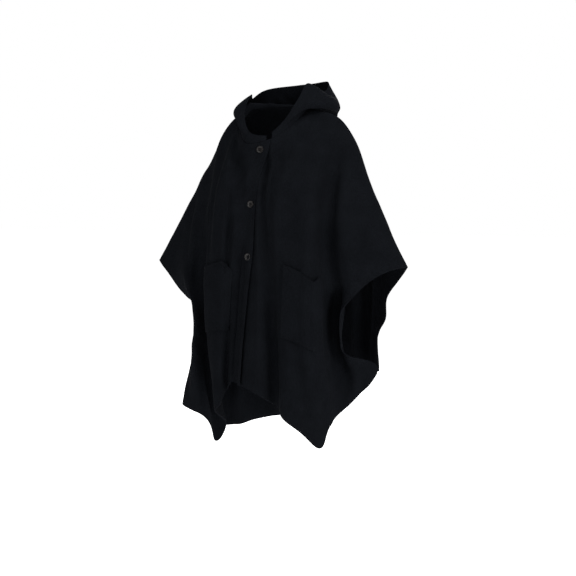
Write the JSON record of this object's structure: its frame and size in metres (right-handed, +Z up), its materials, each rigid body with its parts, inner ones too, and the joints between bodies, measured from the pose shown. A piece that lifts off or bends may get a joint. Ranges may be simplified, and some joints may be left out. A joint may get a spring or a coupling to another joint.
{
  "type": "hooded cape",
  "caption": "Hooded open-sided cape of thick wool, worn shape: lapped button front, wide arm openings, pointed front hems, hood lying back.",
  "frame": {"origin": "centre of the neckline, level with the two side neck points where the cape rests on the shoulders", "axes": "+Z up, +X toward the wearer's left, the front faces -Y"},
  "size_m": [0.886, 0.4257, 1.1627],
  "materials": {
    "boiled_wool": "felted, matt",
    "horn": "polished horn"
  },
  "bodies": {
    "root": {"front_left": "boiled_wool", "front_right": "boiled_wool", "back": "boiled_wool", "hood_left": "boiled_wool", "hood_right": "boiled_wool", "pocket_left": "boiled_wool", "pocket_right": "boiled_wool", "button_1": "horn", "button_2": "horn", "button_3": "horn"}
  },
  "joints": []
}
